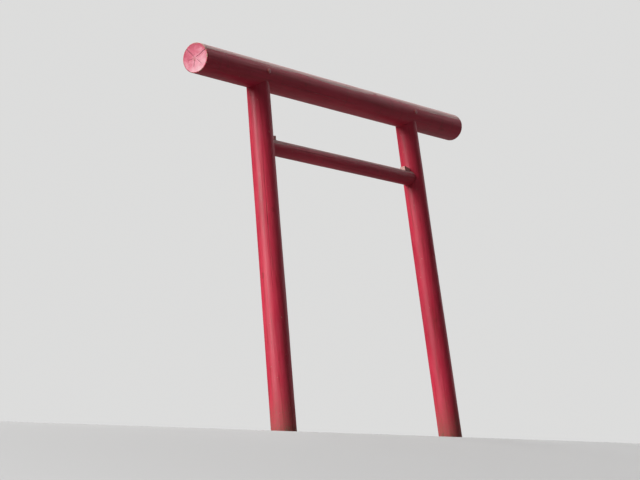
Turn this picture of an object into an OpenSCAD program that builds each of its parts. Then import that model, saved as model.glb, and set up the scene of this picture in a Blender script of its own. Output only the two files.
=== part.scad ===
// Round-log torii gate.
// Two round posts lean in towards each other and carry one straight round top
// beam on square tenons. A thinner round tie beam runs between the posts below
// it, housed blind in both. A peg through the top beam locks each tenon, and a
// wedge on the tie beam's crown tightens each housing.
// Units: mm. X runs along the top beam, Z is up. The origin is the centre of
// the left post's foot, on the ground.

/* [Gate] */
// Distance between the centres of the two feet
foot_span = 1930; // [1800:10:2300]
// Height of the top beam's centre line above the ground
beam_h = 2260; // [2000:10:2600]
// Inward lean of each post, in degrees
lean = 2.75; // [1:0.25:4]

/* [Posts] */
// Post diameter at the ground
post_foot_d = 158; // [140:1:180]
// Post diameter at the top beam
post_top_d = 146; // [125:1:165]

/* [Top beam] */
// Length of the top beam over its cut ends
beam_l = 2960; // [2600:20:3600]
// Diameter of the top beam
beam_d = 188; // [172:1:220]
// Chamfer round each cut end of the top beam
beam_chamfer = 5; // [1:0.5:10]

/* [Tie beam] */
// Drop from the top beam's centre line to the tie beam's centre line
tie_drop = 455; // [330:5:600]
// Diameter of the tie beam
tie_d = 102; // [90:1:124]
// Depth that each end of the tie beam is housed in its post
tie_housing = 65; // [40:5:90]

/* [Tenons and pegs] */
// Side of the square tenon on top of each post
tenon_w = 70; // [50:1:90]
// Rise of the tenon above the top beam's centre line
tenon_rise = 45; // [25:1:60]
// Diameter of the peg through the top beam and tenon
peg_d = 30; // [20:1:40]
// Height that each end of the peg stands proud of the top beam
peg_proud = 6; // [2:0.5:12]

/* [Wedges] */
// Width of the wedge across the tie beam
wedge_w = 40; // [30:1:56]
// Thickness of the wedge at its head
wedge_head = 28; // [18:1:40]
// Thickness of the wedge at its tip, inside the post
wedge_tip = 12; // [6:1:16]
// Length of wedge left standing out of the post
wedge_out = 55; // [25:5:80]

/* [Hidden] */
$fn = 96;
tie_z = beam_h - tie_drop;
post_len = beam_h / cos(lean);
taper = (post_foot_d - post_top_d) / post_len;
// centre line and inner face of the left post at the tie beam's height
tie_post_x = tie_z * tan(lean);
tie_inner_x = tie_post_x + (post_foot_d - taper * tie_z / cos(lean)) / 2 / cos(lean);
tie_end_x = tie_inner_x - tie_housing;
// centre line of the left post at the top beam's height
top_post_x = beam_h * tan(lean);
// depth of the flat that seats each wedge on the tie beam's crown
seat_cut = 4;
seat_z = tie_z + tie_d / 2 - seat_cut;
peg_l = beam_d + 2 * peg_proud;
peg_chamfer = 2.5;

// ---------- shapes shared by the two sides ----------

// puts a left-hand shape on the right-hand side
module on_right() {
    translate([foot_span, 0, 0]) mirror([1, 0, 0]) children();
}

// the bare round of the top beam, longer than the beam itself
module beam_round(extra = 200) {
    translate([foot_span / 2 - beam_l / 2 - extra, 0, beam_h])
        rotate([0, 90, 0])
            cylinder(h = beam_l + 2 * extra, d = beam_d);
}

// one whole leaning log, cut level at the ground and at the beam's centre line
module leaning_log() {
    run_out = 40;
    intersection() {
        rotate([0, lean, 0])
            translate([0, 0, -run_out])
                cylinder(h = post_len + 2 * run_out,
                         d1 = post_foot_d + taper * run_out,
                         d2 = post_top_d - taper * run_out);
        translate([-post_foot_d, -post_foot_d, 0])
            cube([top_post_x + 2 * post_foot_d, 2 * post_foot_d, beam_h]);
    }
}

// square tenon along the post's centre line
module tenon() {
    root = beam_d / 2 + 40;
    rotate([0, lean, 0])
        translate([-tenon_w / 2, -tenon_w / 2, post_len - root])
            cube([tenon_w, tenon_w, root + tenon_rise]);
}

// the hole for a peg, right through the top beam and tenon
module peg_hole() {
    translate([top_post_x, 0, beam_h])
        rotate([90, 0, 0])
            cylinder(h = beam_d + 80, d = peg_d, center = true);
}

// round peg with a small chamfer on both ends
module peg() {
    translate([top_post_x, 0, beam_h])
        rotate([90, 0, 0])
            rotate_extrude()
                polygon([
                    [0, -peg_l / 2],
                    [peg_d / 2 - peg_chamfer, -peg_l / 2],
                    [peg_d / 2, -peg_l / 2 + peg_chamfer],
                    [peg_d / 2, peg_l / 2 - peg_chamfer],
                    [peg_d / 2 - peg_chamfer, peg_l / 2],
                    [0, peg_l / 2]
                ]);
}

// tapered wedge lying on the tie beam's crown, tip in the post
module wedge() {
    translate([0, wedge_w / 2, 0])
        rotate([90, 0, 0])
            linear_extrude(height = wedge_w)
                polygon([
                    [tie_end_x, seat_z],
                    [tie_inner_x + wedge_out, seat_z],
                    [tie_inner_x + wedge_out, seat_z + wedge_head],
                    [tie_end_x, seat_z + wedge_tip]
                ]);
}

// blind round housing for the tie beam's end
module tie_socket() {
    translate([tie_end_x, 0, tie_z])
        rotate([0, 90, 0])
            cylinder(h = post_foot_d + 60, d = tie_d);
}

module post() {
    difference() {
        union() {
            difference() {
                leaning_log();
                beam_round();
            }
            tenon();
        }
        peg_hole();
        tie_socket();
        wedge();
    }
}

// ---------- the gate's pieces ----------

module left_post() {
    color([0.76, 0.14, 0.15]) post();
}

module right_post() {
    color([0.76, 0.14, 0.15]) on_right() post();
}

module top_beam() {
    color([0.74, 0.13, 0.15])
        difference() {
            translate([foot_span / 2, 0, beam_h])
                rotate([0, 90, 0])
                    rotate_extrude()
                        polygon([
                            [0, -beam_l / 2],
                            [beam_d / 2 - beam_chamfer, -beam_l / 2],
                            [beam_d / 2, -beam_l / 2 + beam_chamfer],
                            [beam_d / 2, beam_l / 2 - beam_chamfer],
                            [beam_d / 2 - beam_chamfer, beam_l / 2],
                            [0, beam_l / 2]
                        ]);
            tenon();
            on_right() tenon();
            peg_hole();
            on_right() peg_hole();
        }
}

module tie_beam() {
    color([0.70, 0.12, 0.14])
        difference() {
            translate([tie_end_x, 0, tie_z])
                rotate([0, 90, 0])
                    cylinder(h = foot_span - 2 * tie_end_x, d = tie_d);
            wedge();
            on_right() wedge();
        }
}

module left_peg() {
    color([0.82, 0.45, 0.45]) peg();
}

module right_peg() {
    color([0.82, 0.45, 0.45]) on_right() peg();
}

module left_wedge() {
    color([0.80, 0.52, 0.50]) wedge();
}

module right_wedge() {
    color([0.80, 0.52, 0.50]) on_right() wedge();
}

left_post();
right_post();
top_beam();
tie_beam();
left_peg();
right_peg();
left_wedge();
right_wedge();
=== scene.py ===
import math

import bpy
import numpy as np
from mathutils import Matrix, Vector


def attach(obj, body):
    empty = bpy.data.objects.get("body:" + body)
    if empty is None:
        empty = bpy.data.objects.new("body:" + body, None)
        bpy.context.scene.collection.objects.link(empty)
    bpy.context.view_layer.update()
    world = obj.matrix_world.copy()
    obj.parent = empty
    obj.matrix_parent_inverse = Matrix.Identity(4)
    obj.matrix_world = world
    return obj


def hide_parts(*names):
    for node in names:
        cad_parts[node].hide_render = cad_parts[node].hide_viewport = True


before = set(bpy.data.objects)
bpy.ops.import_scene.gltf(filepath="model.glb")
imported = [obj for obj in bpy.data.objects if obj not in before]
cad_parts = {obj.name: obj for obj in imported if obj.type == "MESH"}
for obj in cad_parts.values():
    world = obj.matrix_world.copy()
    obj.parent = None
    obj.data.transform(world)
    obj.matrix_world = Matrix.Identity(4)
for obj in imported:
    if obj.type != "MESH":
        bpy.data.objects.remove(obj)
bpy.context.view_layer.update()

# ------------------------------------------------------------------ sizes, in metres, the same as the CAD source's

SPAN = 1.930
BEAM_H = 2.260
LEAN = math.radians(2.75)
POST_FOOT, POST_TOP = 0.158, 0.146
BEAM_L, BEAM_D, BEAM_CHAMFER = 2.960, 0.188, 0.005
TIE_Z, TIE_D, TIE_HOUSING = 2.260 - 0.455, 0.102, 0.065
TENON_W, TENON_RISE = 0.070, 0.045
PEG_D, PEG_PROUD, PEG_CHAMFER = 0.030, 0.006, 0.0025
WEDGE_W, WEDGE_HEAD, WEDGE_TIP, WEDGE_OUT = 0.040, 0.028, 0.012, 0.055

POST_LEN = BEAM_H / math.cos(LEAN)
TAPER = (POST_FOOT - POST_TOP) / POST_LEN
TIE_POST_X = TIE_Z * math.tan(LEAN)
TIE_INNER_X = TIE_POST_X + (POST_FOOT - TAPER * TIE_Z / math.cos(LEAN)) / 2 / math.cos(LEAN)
TIE_END_X = TIE_INNER_X - TIE_HOUSING
TOP_POST_X = BEAM_H * math.tan(LEAN)
SEAT_Z = TIE_Z + TIE_D / 2 - 0.004
PEG_L = BEAM_D + 2 * PEG_PROUD
SUNK = 0.0014  # the logs' uneven surfaces lie this far inside the true round, on average
COPE_R = BEAM_D / 2 - SUNK + 0.0002
TAU = 2 * math.pi

# ------------------------------------------------------------------ smooth noise on arrays


def _hash(ix, iy, iz, seed):
    n = (ix * 73856093) ^ (iy * 19349663) ^ (iz * 83492791) ^ (seed * 2654435761)
    n = (n ^ (n >> 13)) * 1274126177
    n = n & 0xFFFFFFFF
    n = ((n ^ (n >> 15)) * 2246822519) & 0xFFFFFFFF
    n = n ^ (n >> 13)
    return (n & 0xFFFF) / 32767.5 - 1.0


def noise(x, y, z, seed=0):
    """Smooth noise from -1 to 1 at these places."""
    x, y, z = np.broadcast_arrays(np.asarray(x, float), np.asarray(y, float), np.asarray(z, float))
    ix, iy, iz = (np.floor(a).astype(np.int64) for a in (x, y, z))
    fx, fy, fz = x - ix, y - iy, z - iz
    wx, wy, wz = (f * f * f * (f * (f * 6 - 15) + 10) for f in (fx, fy, fz))
    out = 0.0
    for dx in (0, 1):
        for dy in (0, 1):
            for dz in (0, 1):
                w = (wx if dx else 1 - wx) * (wy if dy else 1 - wy) * (wz if dz else 1 - wz)
                out = out + w * _hash(ix + dx, iy + dy, iz + dz, seed)
    return out


def fbm(x, y, z, seed=0, octaves=3):
    out, amp, total = 0.0, 1.0, 0.0
    for k in range(octaves):
        out = out + amp * noise(x * 2**k, y * 2**k, z * 2**k, seed + 17 * k)
        total += amp
        amp *= 0.5
    return out / total


def smooth(a, b, x):
    t = np.clip((x - a) / (b - a), 0, 1)
    return t * t * (3 - 2 * t)


# ------------------------------------------------------------------ the surface of one round log


class Log:
    """A turned log along an axis, with the long soft unevenness, flats, knots and drying checks of a planed trunk.
    Angles are about the axis, s runs along it. The surface never stands proud of the nominal taper."""

    def __init__(self, origin, axis, e1, e2, radius, taper, length, seed, checks=(), knots=(), calm=(), bow=0.0, sunk=SUNK):
        self.o, self.a, self.e1, self.e2 = (np.array(v, float) for v in (origin, axis, e1, e2))
        self.r0, self.taper, self.length, self.seed = radius, taper, length, seed
        self.checks, self.knots, self.calm = checks, knots, calm
        self.bow, self.sunk = bow, sunk

    def twist(self, s):
        """How far the grain, and with it every column of the mesh, has turned at s."""
        return 0.05 * (s / self.length - 0.5) + 0.012 * noise(s * 2.3, 3.1, self.seed * 0.7, self.seed)

    def nominal(self, s):
        return self.r0 - self.taper * s

    def still(self, th, s):
        """1 on the free surface and 0 where the log meets another piece."""
        free = 1.0
        for angle, half_angle, at, half in self.calm:
            away = np.abs((th - angle + math.pi) % TAU - math.pi)
            near = (1 - smooth(half_angle, half_angle * 1.5, away)) * (1 - smooth(half, half * 1.6, np.abs(s - at)))
            free = free * (1 - near)
        return free

    def masks(self, th, s):
        """(relief, check, knot): the height over the nominal surface and two masks for the paint."""
        c, n = np.cos(th), np.sin(th)
        seed = self.seed
        r = self.nominal(s)
        soft = 0.00062 * fbm(c * 0.8 + 5, n * 0.8, s * 1.7, seed, 2)
        mid = 0.00030 * fbm(c * 2.2, n * 2.2 + 9, s * 5.0, seed + 5, 2)
        flats = noise(c * 6.0, n * 6.0, s * 2.6, seed + 9)
        flats = 0.00026 * (np.abs(flats) * 2 - 0.8)
        ripple = 0.00010 * noise(c * 14.0, n * 14.0, s * 9.0, seed + 11)
        relief = soft + mid + flats + ripple
        knot = np.zeros_like(relief)
        for angle, at, size, high in self.knots:
            ds = (s - at) / 1.5
            dt = ((th - self.twist(s) - angle + math.pi) % TAU - math.pi) * r
            d = np.sqrt(ds * ds + dt * dt) * (1 + 0.16 * noise(ds * 90, dt * 90, at, seed + 21))
            swell = np.exp(-((d / (size * 1.9)) ** 2))
            core = 1 - smooth(size * 0.55, size * 0.8, d)
            ring = np.exp(-(((d - size * 0.8) / 0.0016) ** 2))
            relief = relief + high * swell + 0.0002 * core - 0.0005 * ring
            knot = np.maximum(knot, np.clip(0.45 * core + ring, 0, 1))
        check = np.zeros_like(relief)
        for k, (angle, s_a, s_b, deep, half, shape) in enumerate(self.checks):
            t = np.clip((s - s_a) / (s_b - s_a), 0, 1)
            if shape == "mid":
                prof = np.sin(math.pi * t) ** 0.6
            elif shape == "low":
                prof = np.clip(1 - t, 0, 1) ** 0.7
            else:
                prof = np.clip(t, 0, 1) ** 0.7
            prof = prof * np.clip(0.82 + 0.35 * noise(s * 11, k * 3.7, 0.5, seed + 31), 0, 1)
            wander = 0.0013 * noise(s * 5, k * 5.1, 1.5, seed + 33) + 0.0006 * noise(s * 19, k * 5.1, 2.5, seed + 35) + 0.0003 * noise(s * 63, k * 5.1, 3.5, seed + 37)
            d = np.abs(((th - self.twist(s) - angle + math.pi) % TAU - math.pi) * r + wander)
            w = half * (0.22 + 0.78 * prof) * (0.8 + 0.45 * noise(s * 17, k * 2.9, 4.5, seed + 39)) + 1e-6
            cut = (1 - np.clip(d / w, 0, 1)) ** 0.75
            relief = relief - deep * prof * cut - 0.00025 * prof * np.exp(-((d / 0.004) ** 2))
            check = np.maximum(check, np.clip(1.25 * (1 - d / (w * 1.15)), 0, 1) * (prof > 0.02))
        free = self.still(th, s)
        relief = relief * free - self.sunk
        return np.minimum(relief, -0.0001), check * free, knot * free

    def centre(self, s):
        t = np.clip(s / self.length, 0, 1)
        b = self.bow * np.sin(math.pi * t) ** 2 * np.sin(math.pi * t * 1.7 + self.seed)
        return self.o + s[..., None] * self.a + (b * 0.6)[..., None] * self.e1 + b[..., None] * self.e2

    def point(self, th, s, r):
        return (
            self.centre(s)
            + (r * np.cos(th))[..., None] * self.e1
            + (r * np.sin(th))[..., None] * self.e2
        )

    def surface(self, th, s):
        """(points, radius, check, knot) on the surface."""
        th, s = np.broadcast_arrays(th, s)
        relief, check, knot = self.masks(th, s)
        r = self.nominal(s) + relief
        return self.point(th, s, r), r, check, knot

    def columns(self, count):
        """Column angles: even ones, with close ones over each check."""
        th = list(np.linspace(-math.pi, math.pi, count, endpoint=False))
        for angle, *_ in self.checks:
            a = (angle + math.pi) % TAU - math.pi
            clear = 0.0052 / self.r0
            th = [x for x in th if abs((x - a + math.pi) % TAU - math.pi) > clear]
            th += [a + k / self.r0 for k in np.array([-4.2, -2.7, -1.7, -1.0, -0.45, 0, 0.45, 1.0, 1.7, 2.7, 4.2]) * 1e-3]
        th = np.array(sorted((x + math.pi) % TAU - math.pi for x in th))
        return th


# ------------------------------------------------------------------ meshes


class Mesh:
    """Collects points, faces, map corners and paint masks, and makes one object of them."""

    MASKS = ("check", "knot", "edge")

    def __init__(self):
        self.points, self.masks, self.count = [], [], 0
        self.faces, self.maps, self.slots = [], [], []

    def add(self, points, check=0.0, knot=0.0, edge=0.0):
        """Adds an array of points and returns the array of their numbers."""
        points = np.asarray(points, float)
        shape = points.shape[:-1]
        n = int(np.prod(shape))
        self.points.append(points.reshape(n, 3))
        self.masks.append(np.stack([np.broadcast_to(m, shape).reshape(n) for m in (check, knot, edge)], 1))
        ids = np.arange(self.count, self.count + n).reshape(shape)
        self.count += n
        return ids

    def quads(self, ids, uv, slot, keep=None, closed=False):
        """Faces between the rows of ids. uv has one more column than ids where closed is set."""
        right = np.roll(ids, -1, 1) if closed else ids[:, 1:]
        left = ids if closed else ids[:, :-1]
        f = np.stack([left[:-1], right[:-1], right[1:], left[1:]], -1)
        m = np.stack([uv[:-1, :-1], uv[:-1, 1:], uv[1:, 1:], uv[1:, :-1]], -2)
        sl = np.broadcast_to(np.asarray(slot).reshape(-1, 1) if np.ndim(slot) else slot, f.shape[:2])
        if keep is not None:
            f, m, sl = f[keep], m[keep], sl[keep]
        self.faces += list(f.reshape(-1, 4))
        self.maps += list(m.reshape(-1, 4, 2))
        self.slots += list(np.array(sl).reshape(-1))

    def fan(self, ring, hub, uv_ring, uv_hub, slot, flip=False):
        """Triangles from a closed ring of ids to one middle id. uv_ring has one more entry than ring."""
        n = len(ring)
        for i in range(n):
            a, b = ring[i], ring[(i + 1) % n]
            f = [a, b, hub] if not flip else [b, a, hub]
            u = [uv_ring[i], uv_ring[i + 1], uv_hub] if not flip else [uv_ring[i + 1], uv_ring[i], uv_hub]
            self.faces.append(np.array(f))
            self.maps.append(np.array(u))
            self.slots.append(slot)

    def zipped(self, outer, a_out, inner, a_in, uv_out, uv_in, slot):
        """Triangles between two closed rings that run the same way round one middle, whatever their numbers of points."""
        start = a_out[0]
        a_out, a_in = (np.asarray(a_out) - start) % TAU, (np.asarray(a_in) - start) % TAU
        a_out[0] = 0
        first = int(np.argmin(a_in))
        inner, a_in, uv_in = np.roll(inner, -first), np.roll(a_in, -first), np.roll(uv_in, -first, 0)
        a_out, a_in = np.append(a_out, TAU), np.append(a_in, a_in[0] + TAU)
        n, k = len(outer), len(inner)
        i = j = 0
        while i < n or j < k:
            here, there = i % n, j % k
            if j == k or (i < n and a_out[i + 1] <= a_in[j + 1]):
                i += 1
                f, u = [outer[here], outer[i % n], inner[there]], [uv_out[here], uv_out[i % n], uv_in[there]]
            else:
                j += 1
                f, u = [outer[here], inner[j % k], inner[there]], [uv_out[here], uv_in[j % k], uv_in[there]]
            self.faces.append(np.array(f))
            self.maps.append(np.array(u))
            self.slots.append(slot)

    def build(self, name, materials, body="root", mirror=None, sharp=38.0):
        points = np.concatenate(self.points)
        masks = np.concatenate(self.masks)
        size = np.array([len(f) for f in self.faces])
        corners = np.concatenate([np.asarray(f) for f in self.faces])
        maps = np.concatenate([np.asarray(m).reshape(-1, 2) for m in self.maps])
        used, corners = np.unique(corners, return_inverse=True)
        points, masks = points[used], masks[used]
        start = np.concatenate([[0], np.cumsum(size)[:-1]])
        if mirror is not None:
            points = points * np.array([-1, 1, 1]) + np.array([mirror, 0, 0])
            order = np.concatenate([np.arange(a + n - 1, a - 1, -1) for a, n in zip(start, size)])
            corners, maps = corners[order], maps[order]
        me = bpy.data.meshes.new(name)
        me.vertices.add(len(points))
        me.vertices.foreach_set("co", points.astype(np.float32).ravel())
        me.loops.add(len(corners))
        me.loops.foreach_set("vertex_index", corners.astype(np.int32))
        me.polygons.add(len(size))
        me.polygons.foreach_set("loop_start", start.astype(np.int32))
        me.polygons.foreach_set("material_index", np.array(self.slots, np.int32))
        me.update(calc_edges=True)
        layer = me.uv_layers.new(name="OFBake")
        layer.uv.foreach_set("vector", np.clip(maps, 0.001, 0.999).astype(np.float32).ravel())
        for k, mask in enumerate(self.MASKS):
            made = me.attributes.new(mask, "FLOAT", "POINT")
            made.data.foreach_set("value", masks[:, k].astype(np.float32))
        me.validate()
        me.shade_smooth()
        me.set_sharp_from_angle(angle=math.radians(sharp))
        for m in materials:
            me.materials.append(m)
        ob = bpy.data.objects.new(name, me)
        bpy.context.scene.collection.objects.link(ob)
        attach(ob, body)
        return ob


def round_the_window(ids, i0, i1, j0, j1):
    """The ids on the border of a block of a grid, anticlockwise seen from outside, with their (column, row)."""
    path = [(i, j0) for i in range(i0, i1)]
    path += [(i1, j) for j in range(j0, j1)]
    path += [(i, j1) for i in range(i1, i0, -1)]
    path += [(i0, j) for j in range(j1, j0, -1)]
    cols, rows = np.array(path).T
    return ids[rows, cols], cols, rows


def star(angles, outline, corners=None):
    """Radius of a closed outline of (x, y) points at these angles round its middle, with the nearest angles moved onto its sharp corners."""
    a = np.asarray(angles, float).copy()
    corners = outline if corners is None else np.asarray(corners, float).reshape(-1, 2)
    corners = np.arctan2(corners[:, 1], corners[:, 0])
    taken = set()
    for c in corners:
        d = np.abs((a - c + math.pi) % TAU - math.pi)
        for k in np.argsort(d):
            if k not in taken:
                taken.add(k)
                a[k] = c
                break
    x = np.cos(a)
    y = np.sin(a)
    best = np.full(len(a), np.inf)
    nxt = np.roll(outline, -1, 0)
    for p, q in zip(outline, nxt):
        e = q - p
        det = x * (-e[1]) - y * (-e[0])
        with np.errstate(divide="ignore", invalid="ignore"):
            t = (p[0] * (-e[1]) - p[1] * (-e[0])) / det
            w = (x * p[1] - y * p[0]) / det
        ok = (t > 0) & (w >= -1e-6) & (w <= 1 + 1e-6) & np.isfinite(t)
        best = np.where(ok & (t < best), t, best)
    return a, best


class Side:
    """The grid of a log's side, with room for holes."""

    def __init__(self, log, mesh, th, s, uv_of):
        self.log, self.mesh, self.uv_of = log, mesh, uv_of
        self.th = th  # rows x columns, real angles
        self.s = s
        self.holes = []

    def block(self, angle, half_angle, at, half):
        mid = len(self.s) // 2
        row = np.argmin(np.abs(self.s[:, self.s.shape[1] // 2] - at))
        th = self.th[row]
        i0 = int(np.argmin(np.abs(th - (angle - half_angle))))
        i1 = int(np.argmin(np.abs(th - (angle + half_angle))))
        col = (i0 + i1) // 2
        j0 = int(np.argmin(np.abs(self.s[:, col] - (at - half))))
        j1 = int(np.argmin(np.abs(self.s[:, col] - (at + half))))
        return i0, i1, j0, j1


def hole(side, ids, block, plane_of, to_surface, outline, corners, ends, levels, slot_wall, chamfer=0.0009, uv_at=(0.9, 0.9), uv_size=0.04, rows=1, first=None, windows=None, bottom=True):
    """Cuts a hole with walls into a log's side: the mesh runs evenly from the block's border to the hole's edge, then down its wall to a flat bottom.
    plane_of gives a surface place in the outline's plane, to_surface gives (angle, s) of plane points, and ends gives the wall's lower points.
    The wall's columns start at the corner named first; windows gives the blocks of the wall to leave out. Returns the wall's ids, points and outline."""
    i0, i1, j0, j1 = block
    mesh, log = side.mesh, side.log
    border, b_cols, b_rows = round_the_window(ids, i0, i1, j0, j1)
    th_b, s_b = side.th[b_rows, b_cols], side.s[b_rows, b_cols]
    # angle round the hole's middle of each border point, in the outline's plane
    flat = plane_of(th_b, s_b)
    ang = np.arctan2(flat[:, 1], flat[:, 0])
    ang, rad = star(ang, outline, corners)
    edge_xy = np.stack([rad * np.cos(ang), rad * np.sin(ang)], 1)
    grow = (rad + chamfer) / rad
    th_o, s_o = to_surface(edge_xy * grow[:, None])
    ring = border
    uv_ring = side.uv_of(th_b, s_b)
    for k in range(1, levels + 1):
        t = k / levels
        t = 1 - (1 - t) ** 1.35
        th_k, s_k = th_b + (th_o - th_b) * t, s_b + (s_o - s_b) * t
        pts, _, check, knot = log.surface(th_k, s_k)
        edge = 0.30 if k == levels else (0.12 if k == levels - 1 else 0.0)
        new = mesh.add(pts, check, knot, edge)
        uv_new = side.uv_of(th_k, s_k)
        a = np.stack([ring, new])
        u = np.stack([uv_ring, uv_new])
        u = np.concatenate([u, u[:, :1]], 1)
        mesh.quads(a, u, 0, closed=True)
        ring, uv_ring = new, uv_new
    # the hole's edge, a little below the surface, then the wall and the bottom
    th_e, s_e = to_surface(edge_xy)
    top, r_e, _, _ = log.surface(th_e, s_e)
    lower = ends(edge_xy, top)
    way = lower - top
    way = way / np.linalg.norm(way, axis=1)[:, None]
    upper = top + way * chamfer
    rim = mesh.add(upper, 0.0, 0.0, 0.25)
    n = len(ring)
    uv_of_ring = np.concatenate([uv_ring, uv_ring[:1]])
    mesh.quads(np.stack([ring, rim]), np.stack([uv_of_ring, uv_of_ring]), 0, closed=True)
    turn = 0 if first is None else -int(np.argmin(np.linalg.norm(edge_xy - np.asarray(first), axis=1)))
    rim, upper, lower, edge_xy = (np.roll(v, turn, 0) for v in (rim, upper, lower, edge_xy))
    levels_down = np.linspace(0, 1, rows + 1)[:, None, None]
    wall_pts = upper + (lower - upper) * levels_down
    wall = np.concatenate([rim[None], mesh.add(wall_pts[1:])])
    wall, wall_pts = (np.concatenate([v, v[:, :1]], 1) for v in (wall, wall_pts))
    u0, v0 = uv_at
    span = np.linspace(0, 1, n + 1)
    wall_uv = np.stack(np.broadcast_arrays((u0 + span * uv_size * 2)[None, :], (v0 + levels_down[:, :, 0] * uv_size * 0.5)), -1)
    blocks = windows(edge_xy) if windows else []
    mesh.quads(wall, wall_uv, slot_wall, keep_all_but(rows, n, blocks))
    if bottom:
        hub = mesh.add(lower.mean(0)[None], 0.0, 0.0, 0.0)[0]
        disc = np.stack([u0 + uv_size * (0.5 + 0.45 * np.cos(span * TAU)), v0 + uv_size * (1.1 + 0.45 * np.sin(span * TAU))], 1)
        mesh.fan(wall[-1, :-1], hub, disc, disc.mean(0), slot_wall)
    return wall, wall_pts, edge_xy, blocks


PORTHOLE = np.arange(48) / 48 * TAU - math.pi


def porthole(mesh, ids, block, flat, place, slot, uv_at):
    """Fills a block left out of a flat wall with an even mesh round a peg's hole, and returns the ids of the hole's edge.
    flat holds each grid point's place in the wall's plane from the hole's middle, and place puts such places back in space."""
    border, cols, rows = round_the_window(ids, *block)
    at = flat[rows, cols]

    def uv_of(xy):
        return np.array(uv_at) + xy * 0.35

    last, uv_last = None, None
    for f in (1.6, 1.3, 1.1, 1.0):
        xy = np.stack([np.cos(PORTHOLE), np.sin(PORTHOLE)], 1) * (PEG_D / 2 + 0.0001) * f
        new = mesh.add(place(xy))
        uv = uv_of(xy)
        if last is None:
            mesh.zipped(border, np.arctan2(at[:, 1], at[:, 0]), new, PORTHOLE, uv_of(at), uv, slot)
        else:
            mesh.quads(np.stack([last, new]), np.stack([np.concatenate([uv_last, uv_last[:1]]), np.concatenate([uv, uv[:1]])]), slot, closed=True)
        last, uv_last = new, uv
    return last


def keep_all_but(rows, cols, blocks):
    keep = np.ones((rows, cols), bool)
    for i0, i1, j0, j1 in blocks:
        keep[j0:j1, i0:i1] = False
    return keep


# ------------------------------------------------------------------ node materials


class Nodes:
    def __init__(self, name):
        self.mat = bpy.data.materials.new(name)
        self.mat.use_nodes = True
        self.t = self.mat.node_tree
        self.t.nodes.clear()
        self.out = self.t.nodes.new("ShaderNodeOutputMaterial")
        self.bsdf = self.t.nodes.new("ShaderNodeBsdfPrincipled")
        self.t.links.new(self.bsdf.outputs[0], self.out.inputs[0])

    def new(self, kind, **sets):
        n = self.t.nodes.new(kind)
        for k, v in sets.items():
            setattr(n, k, v)
        return n

    def put(self, socket, value):
        if hasattr(value, "is_output") or isinstance(value, bpy.types.NodeSocket):
            self.t.links.new(value, socket)
        else:
            socket.default_value = value

    def coords(self):
        if not hasattr(self, "_co"):
            self._co = self.new("ShaderNodeTexCoord").outputs["Object"]
        return self._co

    def xyz(self, of=None):
        n = self.new("ShaderNodeSeparateXYZ")
        self.put(n.inputs[0], of if of is not None else self.coords())
        return n.outputs

    def normal(self):
        if not hasattr(self, "_no"):
            self._no = self.new("ShaderNodeNewGeometry").outputs["Normal"]
        return self._no

    def scaled(self, x, y, z, shift=(0, 0, 0), turn=(0, 0, 0)):
        n = self.new("ShaderNodeMapping")
        self.put(n.inputs["Vector"], self.coords())
        n.inputs["Scale"].default_value = (x, y, z)
        n.inputs["Location"].default_value = shift
        n.inputs["Rotation"].default_value = turn
        return n.outputs[0]

    def noise(self, vector, scale=1.0, detail=3.0, rough=0.55, distortion=0.0):
        n = self.new("ShaderNodeTexNoise")
        self.put(n.inputs["Vector"], vector)
        n.inputs["Scale"].default_value = scale
        n.inputs["Detail"].default_value = detail
        n.inputs["Roughness"].default_value = rough
        n.inputs["Distortion"].default_value = distortion
        return n.outputs[0]

    def voronoi(self, vector, scale=1.0, feature="F1"):
        n = self.new("ShaderNodeTexVoronoi", feature=feature)
        self.put(n.inputs["Vector"], vector)
        n.inputs["Scale"].default_value = scale
        return n.outputs["Distance"]

    def math(self, op, a, b=None, c=None, clamp=False):
        n = self.new("ShaderNodeMath", operation=op, use_clamp=clamp)
        self.put(n.inputs[0], a)
        if b is not None:
            self.put(n.inputs[1], b)
        if c is not None:
            self.put(n.inputs[2], c)
        return n.outputs[0]

    def mul(self, a, b, clamp=False):
        return self.math("MULTIPLY", a, b, clamp=clamp)

    def plus(self, a, b, clamp=False):
        return self.math("ADD", a, b, clamp=clamp)

    def step(self, value, low, high, to_low=0.0, to_high=1.0, smooth=True):
        n = self.new("ShaderNodeMapRange", interpolation_type="SMOOTHSTEP" if smooth else "LINEAR")
        self.put(n.inputs["Value"], value)
        n.inputs["From Min"].default_value = low
        n.inputs["From Max"].default_value = high
        n.inputs["To Min"].default_value = to_low
        n.inputs["To Max"].default_value = to_high
        return n.outputs[0]

    def ramp(self, value, *stops):
        n = self.new("ShaderNodeValToRGB")
        self.put(n.inputs[0], value)
        e = n.color_ramp.elements
        while len(e) < len(stops):
            e.new(0.5)
        for k, (at, colour) in enumerate(stops):
            e[k].position = at
            e[k].color = (*colour, 1)
        return n.outputs[0]

    def mix(self, f, a, b, blend="MIX"):
        n = self.new("ShaderNodeMix", data_type="RGBA", blend_type=blend)
        n.clamp_factor = True
        self.put(n.inputs[0], f)
        for socket, v in ((n.inputs[6], a), (n.inputs[7], b)):
            self.put(socket, (*v, 1) if isinstance(v, tuple) and len(v) == 3 else v)
        return n.outputs[2]

    def mask(self, name):
        n = self.new("ShaderNodeAttribute", attribute_name=name)
        return n.outputs["Fac"]

    def bump(self, height, distance, strength=1.0, on=None):
        n = self.new("ShaderNodeBump")
        self.put(n.inputs["Height"], height)
        n.inputs["Distance"].default_value = distance
        n.inputs["Strength"].default_value = strength
        if on is not None:
            self.put(n.inputs["Normal"], on)
        return n.outputs[0]


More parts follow.
